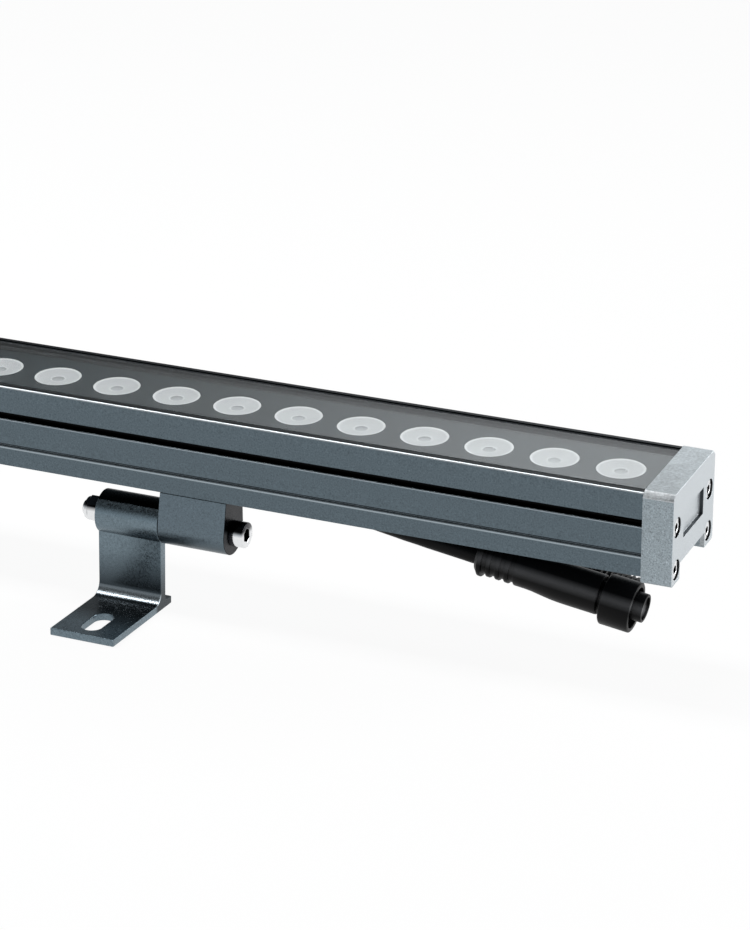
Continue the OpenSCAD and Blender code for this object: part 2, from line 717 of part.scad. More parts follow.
module socket_body() color([0.09, 0.09, 0.1]) on_socket() difference() {
    union() {
        body_shape();
        translate([0, 0, plug_l - cut]) cylinder(d = barrel_d, h = neck_l + 2 * cut);
        translate([0, 0, plug_l + neck_l]) cylinder(d = collar_d - 2 * thread_d, h = collar_l);
        for (z = [thread_pitch : thread_pitch : collar_l - thread_pitch])
            translate([0, 0, plug_l + neck_l + z]) rotate_extrude() polygon([[0, -thread_pitch / 2],
                [collar_d / 2 - thread_d, -thread_pitch / 2], [collar_d / 2, 0],
                [collar_d / 2 - thread_d, thread_pitch / 2], [0, thread_pitch / 2]]);
    }
    translate([0, 0, plug_l + neck_l + collar_l - socket_depth])
        cylinder(d = socket_d, h = socket_depth + cut);
}

module socket_pins() color([0.85, 0.7, 0.35]) on_socket() at_contacts()
    translate([0, 0, plug_l + neck_l + collar_l - socket_depth]) cylinder(d = pin_d, h = pin_l);

// Brackets that slide along the rail, with the bolt that the foot turns on.
// A bracket's front runs from the housing's edge to a tangent on its knuckle.

module bracket_section() {
    polygon([fore_edge, tangent, axle, axle + [knuckle_d / 2, 0],
        [axle[0] + knuckle_d / 2, fore_edge[1]]]);
    translate(axle) circle(knuckle_d / 2);
    translate(fore_edge - [0, saddle_t]) square([body_w / 2 + saddle_back, saddle_t]);
    translate([-key_w / 2, fore_edge[1] - saddle_t / 2]) square([key_w, key_h + saddle_t / 2]);
}

module at_rail_screws(side) on_side(side) for (s = [-1, 1])
    translate([bracket_x + s * rail_screw_x, 0, 0]) children();

module hinge_bracket(side) color([0.33, 0.37, 0.4]) on_housing() difference() {
    on_side(side) translate([bracket_x, 0, 0]) along_bar(bracket_w) bracket_section();
    on_side(side) translate([bracket_x - bracket_w, axle[0], axle[1]]) rotate([0, 90, 0])
        cylinder(d = bolt_d + 4 * fit, h = 2 * bracket_w);
    at_rail_screws(side) translate([0, 0, -saddle_t - cut])
        cylinder(d = rail_screw_d + slack, h = saddle_t + channel_d + 2 * cut);
}

module rail_nut(side) color([0.75, 0.76, 0.77]) on_housing() difference() {
    on_side(side) translate([bracket_x, 0, roof_z + fit])
        box(rail_nut_l, rail_w - 2 * slack, rail_nut_t);
    at_rail_screws(side) cylinder(d = rail_screw_d + 2 * fit, h = floor_z);
}

module rail_screws(side) color([0.8, 0.81, 0.82]) on_housing() at_rail_screws(side)
    rotate([180, 0, 0]) translate([0, 0, saddle_t + 2 * fit])
        socket_screw(rail_screw_d, rail_screw_l, rail_head_d, rail_head_h, rail_hex,
            rail_head_h / 2);

// Runs the children's +Z along the hinge axis, from the bracket's outer face outwards.
module on_axle(side) on_housing() on_side(side)
    translate([bracket_x + bracket_w / 2, axle[0], axle[1]]) rotate([0, 90, 0]) children();

module hinge_bolt(side) color([0.86, 0.87, 0.88]) on_axle(side)
    socket_screw(bolt_d, bolt_l, head_d, head_h, bolt_hex, bolt_hex_d);

module bolt_washer(side) color([0.8, 0.81, 0.82]) on_axle(side)
    translate([0, 0, -bolt_span - washer_t]) difference() {
        cylinder(d = washer_d - 2 * slack, h = washer_t);
        translate([0, 0, -cut]) cylinder(d = bolt_d + 2 * fit, h = washer_t + 2 * cut);
    }

module lock_nut(side) color([0.84, 0.85, 0.86]) on_axle(side)
    translate([0, 0, -bolt_span - washer_t - nut_h]) difference() {
        union() {
            translate([0, 0, nut_collar_h])
                cylinder(d = nut_flats / cos(30), h = nut_h - nut_collar_h, $fn = 6);
            cylinder(d = nut_flats - 2 * slack, h = nut_h);
        }
        translate([0, 0, -cut]) cylinder(d = bolt_d + 2 * fit, h = nut_h + 2 * cut);
    }

// Feet, drawn with the fixing slot at the origin

module foot_section() {
    leg_y = hinge_y - leg_set - leg_t;
    translate([-fix_slot_y, 0]) square([plate_d, plate_t]);
    translate([leg_y, 0]) square([leg_t, hinge_h]);
    translate([hinge_y, hinge_h]) circle(knuckle_d / 2);
    translate([leg_y - corner_r, plate_t + corner_r]) scale([1, -1]) off_corner(corner_r);
    translate([leg_y + leg_t + heel_r, plate_t + heel_r]) scale([-1, -1]) off_corner(heel_r);
}

module foot(side) color([0.33, 0.37, 0.4]) on_side(side) difference() {
    translate([foot_x, 0, 0]) along_bar(foot_w) foot_section();
    translate([foot_x - foot_w, hinge_y, hinge_h]) rotate([0, 90, 0])
        cylinder(d = bolt_d + 4 * fit, h = 2 * foot_w);
    translate([foot_x, 0, -cut]) for (s = [-1, 1]) translate([0, s * slot_reach, 0])
        cylinder(d = fix_slot_w, h = plate_t + 2 * cut);
    translate([foot_x, 0, -cut]) box(fix_slot_w, 2 * slot_reach, plate_t + 2 * cut);
}

housing_extrusion();
cover_glass();
glass_seam();
glass_bed();
mask_plate();
lens_row(0);  // lens_row_left
lens_row(1);  // lens_row_middle
lens_row(2);  // lens_row_right
led_board(0);  // led_board_left
led_board(1);  // led_board_middle
led_board(2);  // led_board_right
led_chips(0);  // led_chips_left
led_chips(1);  // led_chips_middle
led_chips(2);  // led_chips_right
regulators(0);  // regulators_left
regulators(1);  // regulators_middle
regulators(2);  // regulators_right
board_screws();
board_links();
terminal_block();
supply_wires();
end_gasket(-1);  // end_gasket_left
end_gasket(1);  // end_gasket_right
end_cap(-1);  // end_cap_left
end_cap(1);  // end_cap_right
cap_screws(-1);  // cap_screws_left
cap_screws(1);  // cap_screws_right
outlet_block();
outlet_gasket();
outlet_screw();
outlet_nut();
gland_nut(-1);  // gland_nut_front
gland_nut(1);  // gland_nut_rear
cable_tails();
cable(front_route, -1, front_droop);  // cable_front
cable(rear_route, 1, rear_droop);  // cable_rear
plug_tail();
plug_body();
plug_nut();
plug_contacts();
socket_tail();
socket_body();
socket_pins();
hinge_bracket(-1);  // hinge_bracket_left
hinge_bracket(1);  // hinge_bracket_right
rail_nut(-1);  // rail_nut_left
rail_nut(1);  // rail_nut_right
rail_screws(-1);  // rail_screws_left
rail_screws(1);  // rail_screws_right
hinge_bolt(-1);  // hinge_bolt_left
hinge_bolt(1);  // hinge_bolt_right
bolt_washer(-1);  // bolt_washer_left
bolt_washer(1);  // bolt_washer_right
lock_nut(-1);  // lock_nut_left
lock_nut(1);  // lock_nut_right
foot(-1);  // foot_left
foot(1);  // foot_right
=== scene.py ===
import math

import bmesh
import bpy
from mathutils import Matrix, Vector


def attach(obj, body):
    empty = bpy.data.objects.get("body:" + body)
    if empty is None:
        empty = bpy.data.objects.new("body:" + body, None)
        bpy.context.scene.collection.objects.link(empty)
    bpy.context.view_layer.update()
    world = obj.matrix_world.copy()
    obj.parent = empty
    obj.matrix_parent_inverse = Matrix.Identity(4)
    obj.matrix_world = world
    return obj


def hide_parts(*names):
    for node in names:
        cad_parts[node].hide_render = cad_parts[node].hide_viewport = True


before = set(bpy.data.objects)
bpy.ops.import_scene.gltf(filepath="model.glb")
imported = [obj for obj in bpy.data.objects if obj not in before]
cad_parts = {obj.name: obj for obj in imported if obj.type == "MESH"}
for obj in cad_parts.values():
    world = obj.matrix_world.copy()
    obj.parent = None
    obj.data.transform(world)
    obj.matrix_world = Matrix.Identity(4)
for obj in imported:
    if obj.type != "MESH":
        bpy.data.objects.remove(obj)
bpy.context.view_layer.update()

# Camera. The photo was taken with a long lens from the front right, a little above the bar,
# and it crops the bar's left end.
camera = bpy.data.objects.new("camera", bpy.data.cameras.new("camera"))
bpy.context.scene.collection.objects.link(camera)
camera.location = (0.8355, -1.0471, 0.5093)
camera.rotation_euler = [math.radians(a) for a in (69.72, -1.07, 23.45)]
camera.data.lens = 125.3
camera.data.sensor_width = 36
camera.data.clip_start = 0.01
bpy.context.scene.camera = camera

# The two cables. Rubber-sheathed leads, 7 mm thick, that leave the outlet under the bar side by
# side and droop stiffly towards the end cap: the front one to a plug, the rear one to a socket.
mm = 0.001
hinge_y, hinge_z = 33.2 * mm, 36.8 * mm
axle_fore, axle_drop = 18 * mm, 15.1 * mm
bar_lean = math.radians(3.6)
# places what is drawn on the level bar, its underside at zero, on the hinge that leans it forward
on_bar = (
    Matrix.Translation((0, hinge_y, hinge_z))
    @ Matrix.Rotation(bar_lean, 4, "X")
    @ Matrix.Translation((0, axle_fore, axle_drop))
)
cable_d = 7 * mm
gland_x, gland_z, gland_side = 351.05 * mm, -1.7 * mm, 8.2 * mm
front_droop, rear_droop = math.radians(8.2), math.radians(11.3)
front_route = [
    (0, 0, 0), (5, 0, -0.1), (10, -0.1, -0.5), (15, -0.2, -1.1), (20, -0.3, -1.8),
    (25, -0.5, -2.6), (30, -0.6, -3.4), (35, -0.8, -4.2), (40, -0.9, -4.9),
    (45, -1, -5.7), (50, -1.1, -6.4), (55, -1.2, -7.1), (60, -1.3, -7.8),
    (63, -1.3, -8.3), (66, -1.3, -8.7),
]
rear_route = [
    (0, 0, 0), (5, 0, -0.2), (10, 0.1, -0.8), (15, 0.2, -1.7), (20, 0.4, -2.8),
    (25, 0.6, -4), (30, 0.7, -5.2), (35, 0.9, -6.4), (40, 1.1, -7.6),
    (45, 1.2, -8.7), (48, 1.3, -9.4), (51.5, 1.3, -10.1), (55, 1.3, -10.8),
]


def give(tree, socket, value):
    """Links a node's input to another node's output, or sets it to a number or a colour."""
    if isinstance(value, bpy.types.NodeSocket):
        tree.links.new(value, socket)
    else:
        socket.default_value = value


def reckon(tree, operation, *given, clamp=False):
    """The result of a math node on outputs or numbers."""
    node = tree.nodes.new("ShaderNodeMath")
    node.operation = operation
    node.use_clamp = clamp
    for socket, value in zip(node.inputs, given):
        give(tree, socket, value)
    return node.outputs[0]


def mixed(tree, factor, first, second):
    """A second colour laid over a first one, by a factor."""
    mix = tree.nodes.new("ShaderNodeMix")
    mix.data_type = "RGBA"
    for name, value in (("Factor", factor), ("A", first), ("B", second)):
        give(tree, mix.inputs[name], value)
    return mix.outputs["Result"]


def shaded(tree, colour, shade):
    """A colour made lighter or darker by a shade."""
    scaled = tree.nodes.new("ShaderNodeVectorMath")
    scaled.operation = "SCALE"
    give(tree, scaled.inputs[0], colour)
    give(tree, scaled.inputs["Scale"], shade)
    return scaled.outputs[0]


def node_group(name, inputs, vectors_in, outputs, vectors_out):
    """A new node group with its inputs, outputs, and the nodes that bring and take them."""
    group = bpy.data.node_groups.new(name, "ShaderNodeTree")
    sockets = group.interface
    for socket, value in inputs:
        made = sockets.new_socket(socket, in_out="INPUT", socket_type="NodeSocketFloat")
        made.default_value = value
    for names, way, kind in (
        (vectors_in, "INPUT", "NodeSocketVector"), (outputs, "OUTPUT", "NodeSocketFloat"),
        (vectors_out, "OUTPUT", "NodeSocketVector"),
    ):
        for socket in names:
            sockets.new_socket(socket, in_out=way, socket_type=kind)
    return group, group.nodes.new("NodeGroupInput"), group.nodes.new("NodeGroupOutput")


def grain_group():
    """The grain of a finish: a shade round 1 of fine grain and broad patches, flecks, a normal."""
    group, given, out = node_group(
        "surface_grain",
        (
            ("Size", 1000), ("Contrast", 0.2), ("Patch Size", 60), ("Patches", 0.1),
            ("Fleck", 0.7), ("Relief", 0.1),
        ),
        ("Vector",), ("Shade", "Flecks"), ("Normal",),
    )

    def noise(size, detail):
        """A noise pattern of one of the two sizes."""
        pattern = group.nodes.new("ShaderNodeTexNoise")
        pattern.inputs["Detail"].default_value = detail
        pattern.inputs["Roughness"].default_value = 0.6
        give(group, pattern.inputs["Vector"], given.outputs["Vector"])
        give(group, pattern.inputs["Scale"], given.outputs[size])
        return pattern.outputs["Fac"]

    fine, broad = noise("Size", 3), noise("Patch Size", 4)
    shade = 1
    for pattern, strength in ((fine, "Contrast"), (broad, "Patches")):
        centred = reckon(group, "SUBTRACT", pattern, 0.5)
        shade = reckon(group, "MULTIPLY_ADD", centred, given.outputs[strength], shade)
    flecks = group.nodes.new("ShaderNodeMapRange")
    give(group, flecks.inputs["Value"], fine)
    give(group, flecks.inputs["From Min"], given.outputs["Fleck"])
    flecks.inputs["From Max"].default_value = 0.85
    bump = group.nodes.new("ShaderNodeBump")
    bump.inputs["Distance"].default_value = 0.1 * mm
    give(group, bump.inputs["Strength"], given.outputs["Relief"])
    give(group, bump.inputs["Height"], fine)
    give(group, out.inputs["Shade"], shade)
    give(group, out.inputs["Flecks"], flecks.outputs["Result"])
    give(group, out.inputs["Normal"], bump.outputs["Normal"])
    return group


surface_grain = grain_group()


def object_place(tree):
    """Where a point of the surface is, in metres in the object's frame."""
    return tree.nodes.new("ShaderNodeTexCoord").outputs["Object"]


def grain_node(tree, **settings):
    """The grain of a finish, with a value for each of the group's inputs that is named."""
    grain = tree.nodes.new("ShaderNodeGroup")
    grain.node_tree = surface_grain
    for name, value in settings.items():
        grain.inputs[name.replace("_", " ")].default_value = value
    give(tree, grain.inputs["Vector"], object_place(tree))
    return grain


def new_material(name):
    """An empty node material, its tree and its principled shader."""
    material = bpy.data.materials.new(name)
    material.use_nodes = True
    return material, material.node_tree, material.node_tree.nodes["Principled BSDF"]


def grained(name, colour, size, contrast, relief, roughness, metallic=0, ior=None,
            patches=0.08, patch_size=60, fleck=0.75, fleck_colour=None):
    """A material whose colour, roughness and relief carry the grain of its finish."""
    material, tree, shader = new_material(name)
    grain = grain_node(
        tree, Size=size, Contrast=contrast, Patch_Size=patch_size, Patches=patches, Fleck=fleck,
        Relief=relief,
    )
    shade = grain.outputs["Shade"]
    flecked = mixed(tree, grain.outputs["Flecks"], (*colour, 1), (*(fleck_colour or colour), 1))
    give(tree, shader.inputs["Base Color"], shaded(tree, flecked, shade))
    give(tree, shader.inputs["Roughness"], reckon(tree, "MULTIPLY", shade, roughness))
    give(tree, shader.inputs["Normal"], grain.outputs["Normal"])
    shader.inputs["Metallic"].default_value = metallic
    if ior:
        shader.inputs["IOR"].default_value = ior
    return material


rubber_black = (0.002, 0.002, 0.0023)
cable_rubber = grained(
    "cable_rubber", rubber_black, size=2500, contrast=0.5, relief=0.08, roughness=0.42, ior=1.2
)


def make_cable(name, route, side, droop):
    """A smooth curve through the cable's route, with the sheath's thickness."""
    curve = bpy.data.curves.new(name, "CURVE")
    curve.dimensions = "3D"
    curve.bevel_depth = cable_d / 2
    curve.bevel_resolution = 8
    curve.resolution_u = 6
    curve.use_fill_caps = True
    line = curve.splines.new("BEZIER")
    line.bezier_points.add(len(route) - 1)
    start = Vector((gland_x, side * gland_side, gland_z))
    places = [on_bar @ (start + Vector(p) * mm) for p in route]
    first = on_bar.to_3x3() @ Vector((1, 0, 0))
    last = on_bar.to_3x3() @ Vector((math.cos(droop), 0, -math.sin(droop)))
    for i, (point, place) in enumerate(zip(line.bezier_points, places)):
        before, after = places[max(i - 1, 0)], places[min(i + 1, len(places) - 1)]
        way = first if i == 0 else last if i == len(places) - 1 else (after - before).normalized()
        point.co = place
        point.handle_left_type = point.handle_right_type = "FREE"
        point.handle_left = place - way * (place - before).length / 3
        point.handle_right = place + way * (after - place).length / 3
    cable = bpy.data.objects.new(name, curve)
    bpy.context.scene.collection.objects.link(cable)
    curve.materials.append(cable_rubber)
    length = sum((b - a).length for a, b in zip(places, places[1:]))
    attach(cable, "housing")
    return cable, places[0], length


front_cable, front_exit, front_length = make_cable("front_cable", front_route, -1, front_droop)
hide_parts("cable_front")
rear_cable, rear_exit, rear_length = make_cable("rear_cable", rear_route, 1, rear_droop)
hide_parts("cable_rear")

# The connectors. Both are moulded in satin black rubber round their contacts: a flanged and
# ribbed tail, a body that swells towards its groove, then the plug's barrel or the socket's
# collar. A painted highlight, a lighter grey band, runs along their upper front.
connector_rubber = grained(
    "connector_rubber", rubber_black, size=3000, contrast=0.5, relief=0.08, roughness=0.4, ior=1.2
)


def finish_piece(name, shape, material, body, smooth=35):
    """Makes an object of a shape: smooth but for its sharp edges, painted, riding on a body."""
    bmesh.ops.recalc_face_normals(shape, faces=shape.faces)
    mesh = bpy.data.meshes.new(name)
    shape.to_mesh(mesh)
    shape.free()
    mesh.shade_smooth()
    mesh.set_sharp_from_angle(angle=math.radians(smooth))
    mesh.materials.append(material)
    piece = bpy.data.objects.new(name, mesh)
    bpy.context.scene.collection.objects.link(piece)
    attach(piece, body)
    return piece


def lathe(shape, profile, turn, steps=64):
    """Spins a profile of (along, radius) points in mm about the Z axis of turn."""
    points = [shape.verts.new(turn @ Vector((r * mm, 0, z * mm))) for z, r in profile]
    edges = [shape.edges.new(pair) for pair in zip(points, points[1:])]
    bmesh.ops.spin(
        shape, geom=points + edges, cent=turn.translation, axis=turn.to_3x3() @ Vector((0, 0, 1)),
        angle=math.tau, steps=steps, use_merge=True,
    )
    bmesh.ops.remove_doubles(shape, verts=shape.verts, dist=0.002 * mm)


def cable_end(route, side, droop):
    """Where a connector starts: +Z runs along it, away from its cable."""
    start = Vector((gland_x, side * gland_side, gland_z)) + Vector(route[-1]) * mm
    return on_bar @ Matrix.Translation(start) @ Matrix.Rotation(math.radians(90) + droop, 4, "Y")


plug_place = cable_end(front_route, -1, front_droop)
socket_place = cable_end(rear_route, 1, rear_droop)


def band_group():
    """A mask that is one between two levels of a value and fades out over a soft width."""
    group, given, out = node_group(
        "band", (("Value", 0), ("Low", 0), ("High", 1), ("Soft", 0.1)), (), ("Mask",), (),
    )
    sides = []
    for upper, lower in (("Value", "Low"), ("High", "Value")):
        depth = reckon(group, "SUBTRACT", given.outputs[upper], given.outputs[lower])
        steep = reckon(group, "DIVIDE", depth, given.outputs["Soft"])
        sides.append(reckon(group, "ADD", steep, 0.5, clamp=True))
    give(group, out.inputs["Mask"], reckon(group, "MINIMUM", *sides))
    return group


band = band_group()


def inside(tree, *limits):
    """A mask of where each value lies in its band: from, to, and how soft the ends are."""
    mask = None
    for value, (low, high, soft) in limits:
        level = tree.nodes.new("ShaderNodeGroup")
        level.node_tree = band
        for name, given in (("Value", value), ("Low", low), ("High", high), ("Soft", soft)):
            give(tree, level.inputs[name], given)
        here = level.outputs["Mask"]
        mask = here if mask is None else reckon(tree, "MULTIPLY", mask, here)
    return mask


def tint(tree, mask, colour, shade=None):
    """Lays a colour, times a shade where there is one, over a material's own where the mask is."""
    base = tree.nodes["Principled BSDF"].inputs["Base Color"]
    laid = shaded(tree, colour, shade) if shade else (*colour, 1)
    give(tree, base, mixed(tree, mask, base.links[0].from_socket, laid))


# the painted highlight, a lighter band on the rubber: its colour, how far it lies below the
# connectors' middle, seen from which side
painted_sheen_grey = (0.085, 0.085, 0.088)
painted_sheen_band = (-0.7 * mm, 2.5 * mm, 2.4 * mm)
painted_sheen_side = Vector((0.4184, -1.0885, 0.4673))
plug_axis = plug_place.to_3x3() @ Vector((0, 0, 1))
below_axis = plug_axis.cross(painted_sheen_side).normalized()
tree = connector_rubber.node_tree
drop = tree.nodes.new("ShaderNodeVectorMath")
drop.operation = "DOT_PRODUCT"
give(tree, drop.inputs[0], object_place(tree))
give(tree, drop.inputs[1], below_axis)
below = reckon(tree, "SUBTRACT", drop.outputs["Value"], below_axis.dot(plug_place.translation))
# painted highlight: a lighter band laid along the connectors' upper front
tint(tree, inside(tree, (below, painted_sheen_band)), painted_sheen_grey)

tail_profile = [
    (0, 3.5), (0, 5.6), (0.3, 5.9), (1.5, 7.4), (1.9, 7.5), (2.7, 7.5), (3, 7.3), (3.2, 6.0),
    (3.6, 5.9), (4.6, 5.9), (4.9, 6.1), (5.0, 6.6), (5.3, 6.8), (6.4, 6.8), (6.7, 6.6),
    (6.8, 6.0), (7.1, 5.9), (8.4, 5.9), (8.7, 6.0), (8.8, 6.6), (9.1, 6.8), (10.2, 6.8),
    (10.5, 6.6), (10.6, 6.0), (10.9, 5.9), (12.2, 5.9), (12.5, 6.0), (12.6, 6.6), (12.9, 6.8),
    (14.1, 6.8), (14.4, 6.6), (14.5, 6.0), (14.8, 5.9), (16.1, 5.9), (16.4, 6.0), (16.5, 6.6),
    (16.8, 6.8), (21, 6.8),
]
body_profile = [
    (21, 6.8), (24, 6.95), (28, 7.4), (32, 7.8), (35, 7.95), (38, 8), (50.2, 8),
    (50.8, 7.9), (51.1, 7.65), (51.2, 7.3), (51.2, 5.7),
]
barrel_profile = [
    (55.5, 5.7), (55.5, 6.8), (55.6, 6.9), (57, 6.9), (57.1, 6.8), (57.1, 5.7),
    (68.6, 5.7), (68.9, 5.6), (69, 5.4), (69, 4.8), (68.9, 4.6), (68, 4.6), (68, 0),
]
thread_start, thread_pitch, thread_turns = 53.7, 2, 8
thread_profile = [
    (thread_start + thread_pitch * turn + z, r) for turn in range(thread_turns)
    for z, r in ((0, 7.5), (0.4, 7.6), (0.9, 8.1), (1.2, 8.1), (1.7, 7.6))
]
mouth_profile = [
    (69.9, 7.5), (70.5, 7.3), (70.7, 7.1), (70.7, 6.1), (70.5, 5.9), (58.7, 5.9), (58.7, 0),
]
for name, node, place in (
    ("plug_strain_relief", "plug_tail", plug_place),
    ("socket_strain_relief", "socket_tail", socket_place),
):
    shape = bmesh.new()
    lathe(shape, tail_profile, place)
    tail = finish_piece(name, shape, connector_rubber, "housing")
    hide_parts(node)

plug_shape = bmesh.new()
lathe(plug_shape, body_profile + barrel_profile, plug_place)
plug = finish_piece("plug_moulding", plug_shape, connector_rubber, "housing")
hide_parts("plug_body")

socket_shape = bmesh.new()
collar_profile = [(52.7, 5.7), (52.7, 7.4)] + thread_profile + mouth_profile
lathe(socket_shape, body_profile + collar_profile, socket_place)
socket = finish_piece(
    "socket_moulding", socket_shape, connector_rubber, "housing"
)
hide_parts("socket_body")


def paint(node, material):
    """Gives a CAD node that keeps its shape its material."""
    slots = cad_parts[node].data.materials
    slots.clear()
    slots.append(material)


contact_metal = grained(
    "contact_metal", (0.75, 0.6, 0.34), size=3000, contrast=0.2, relief=0.02, roughness=0.25,
    metallic=1,
)
paint("plug_contacts", contact_metal)
paint("socket_pins", contact_metal)

# The coupling nut. Moulded in black rubber-coated plastic, it hangs loose on the plug's barrel
# and screws onto the collar of the socket that the plug goes into. It is the last piece on the
# cables.
nut_hang = 1 * mm
nut_shape = bmesh.new()
lathe(nut_shape, [
    (52.7, 7), (52.7, 9.1), (52.8, 9.4), (53.1, 9.8), (53.5, 10), (64.7, 10), (65, 9.9),
    (65.2, 9.6), (65.2, 8.4), (65, 8.2), (55.2, 8.2), (55.2, 7.1), (55.1, 7), (52.7, 7),
], plug_place @ Matrix.Translation((nut_hang, 0, 0)))
nut = finish_piece("coupling_nut", nut_shape, connector_rubber, "plug_nut")
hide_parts("plug_nut")

# The housing. One aluminium extrusion with a dark slate powder coat whose metallic flakes show
# as a fine light grain. Painted highlights lie along its rounded edges and the lips' corners, and
# painted shade darkens the lips' tops, the grooves and the fine line.
bar_coat = grained(
    "slate_coat_of_the_bar", (0.104, 0.137, 0.159), size=1500, contrast=1.3, relief=0.1,
    roughness=0.36, metallic=0.85, patches=0.05, fleck=0.66, fleck_colour=(0.15, 0.19, 0.21),
)


def axes(tree, place):
    """The X, Y and Z of a place."""
    parts = tree.nodes.new("ShaderNodeSeparateXYZ")
    give(tree, parts.inputs[0], place)
    return parts.outputs["X"], parts.outputs["Y"], parts.outputs["Z"]


def bar_place(tree):
    """How far out from the bar's middle, along and across it, and how high over its underside."""
    level = tree.nodes.new("ShaderNodeMapping")
    back = on_bar.inverted()
    level.inputs["Scale"].default_value = (1 / mm, 1 / mm, 1 / mm)
    level.inputs["Rotation"].default_value = back.to_euler()
    level.inputs["Location"].default_value = back.translation / mm
    give(tree, level.inputs["Vector"], object_place(tree))
    along, across, height = axes(tree, level.outputs["Vector"])
    return reckon(tree, "ABSOLUTE", along), reckon(tree, "ABSOLUTE", across), height


# bands of the bar in mm: from, to, and how soft; one from -1 starts at the middle
step_edge, groove_edge = (7.5, 8.8, 0.3), (19.9, 20.5, 0.2)
lip_corner, lip_flat = (57.75, 60, 0.12), (11.25, 20, 0.1)
groove_height, groove_depth = (17.5, 23.6, 0.1), (-1, 23.35, 0.3)
line_height, line_depth = (8.68, 9.6, 0.12), (-1, 23.8, 0.2)
painted_edge_highlight, painted_lip_highlight, painted_lip_shade = (0.37, 0.425, 0.46), (0.62, 0.66, 0.68), (0.004, 0.006, 0.008)
painted_groove_shadow, painted_line_shadow = (0.001, 0.001, 0.0012), (0.02, 0.027, 0.033)
tree = bar_coat.node_tree
_, aside, height = bar_place(tree)
# painted highlights: lighter bands on the rounded edges below the fine line and below the groove
edges = reckon(
    tree, "MAXIMUM", inside(tree, (height, step_edge)), inside(tree, (height, groove_edge))
)
tint(tree, edges, painted_edge_highlight)
# painted highlight: the lips' rounded outer corners painted light
tint(tree, inside(tree, (reckon(tree, "ADD", aside, height), lip_corner)), painted_lip_highlight)
# painted shade: the lips' tops painted near black
tint(tree, inside(tree, (reckon(tree, "SUBTRACT", height, aside), lip_flat)), painted_lip_shade)
# painted shadow: the groove painted near black
tint(tree, inside(tree, (height, groove_height), (aside, groove_depth)), painted_groove_shadow)
# painted shadow: the fine line painted dark
tint(tree, inside(tree, (height, line_height), (aside, line_depth)), painted_line_shadow)


flat_angle, corner_angle = math.radians(1), math.radians(35)


def softened(node, width, where=None):
    """A CAD node's shape with its doubles merged, its flats joined and its sharp edges rounded."""
    shape = bmesh.new()
    shape.from_mesh(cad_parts[node].data)
    bmesh.ops.remove_doubles(shape, verts=shape.verts, dist=0.01 * mm)
    bmesh.ops.dissolve_limit(
        shape, angle_limit=flat_angle, verts=shape.verts, edges=shape.edges
    )
    sharp = [
        e for e in shape.edges
        if len(e.link_faces) == 2 and e.calc_face_angle() > corner_angle
        and (not where or where(e))
    ]
    bmesh.ops.bevel(
        shape, geom=sharp, offset=width * mm, segments=2, profile=0.5, affect="EDGES",
        clamp_overlap=True, material=-1,
    )
    return shape


long_run, face_zone = 500 * mm, 22.5 * mm


def long_outer(edge):
    """Whether an edge runs along the bar on one of its two faces."""
    ends = [on_bar.inverted() @ v.co for v in edge.verts]
    along = abs(ends[0].x - ends[1].x) > long_run
    return along and min(abs(end.y) for end in ends) > face_zone


# coated and cast metal shows its edges down to this many degrees
coated_edge = 14
bar = finish_piece(
    "bar_extrusion", softened("housing_extrusion", width=0.12, where=long_outer), bar_coat,
    "housing", smooth=coated_edge,
)
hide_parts("housing_extrusion")

# The cover glass. Toughened glass, 4 mm, bedded on a gasket and sealed round its edge with
# black silicone that stays a little below the lips; light passes it without a shadow.
glass, tree, shader = new_material("clear_glass")
shader.inputs["Base Color"].default_value = (0.97, 0.99, 0.98, 1)
shader.inputs["Transmission Weight"].default_value = 1
shader.inputs["Roughness"].default_value = 0
shader.inputs["IOR"].default_value = 1.5


def either(tree, factor, first, second):
    """A second shader instead of a first one, by a factor."""
    mix = tree.nodes.new("ShaderNodeMixShader")
    for socket, value in zip(mix.inputs, (factor, first.outputs[0], second.outputs[0])):
        give(tree, socket, value)
    return mix


rays = tree.nodes.new("ShaderNodeLightPath")
clear = tree.nodes.new("ShaderNodeBsdfTransparent")
seen = either(tree, rays.outputs["Is Shadow Ray"], shader, clear)
give(tree, tree.nodes["Material Output"].inputs["Surface"], seen.outputs[0])
paint("cover_glass", glass)
silicone = grained(
    "black_silicone", (0.02, 0.024, 0.027), size=1500, contrast=0.3, relief=0.1, roughness=0.5
)
for node in ("glass_seam", "glass_bed", "end_gasket_left", "end_gasket_right", "outlet_gasket"):
    paint(node, silicone)

# The mask. A matt black sheet that lies under the glass, with a round opening punched for each
# lens, and hides the boards.
mask_black = grained(
    "mask_black", (0.003, 0.008, 0.011), size=1500, contrast=0.3, relief=0.1, roughness=0.7,
    ior=1.25,
)
paint("mask_plate", mask_black)

# The lenses. Moulded plastic cups, one on each chip, with a frosted dish flush with the mask
# and a shallow clear pit in its middle. A lighter ring round the pit and another at the dish's
# rim are painted highlights.
lens_frost = grained(
    "frosted_lens", (0.35, 0.358, 0.37), size=900, contrast=0.06, relief=0.05, roughness=0.3,
    patches=0.05, patch_size=300,
)
lens_pitch, lens_count, board_top, mask_top = 26.9, 36, 15.9, 29.2
boards = ("left", "middle", "right")
lens_front = mask_top - board_top
cup_profile = [
    (0, 3.2), (0, 6.5), (2, 6.5), (2, 5), (10.85, 10.2), (12.05, 10.2), (12.05, 9.55),
]
# the dish, as depth below the lens's front and radius
dish_profile = [
    (0.15, 9.55), (0, 9.4), (0.05, 9.2), (0.25, 8.8), (0.5, 7.6), (0.75, 6.2), (0.95, 4.8),
    (1.05, 3.6), (1.12, 2.65), (1.25, 2.5), (1.5, 2.35), (1.6, 2.1), (1.6, 0),
]
lens_profile = cup_profile + [(lens_front - depth, r) for depth, r in dish_profile]


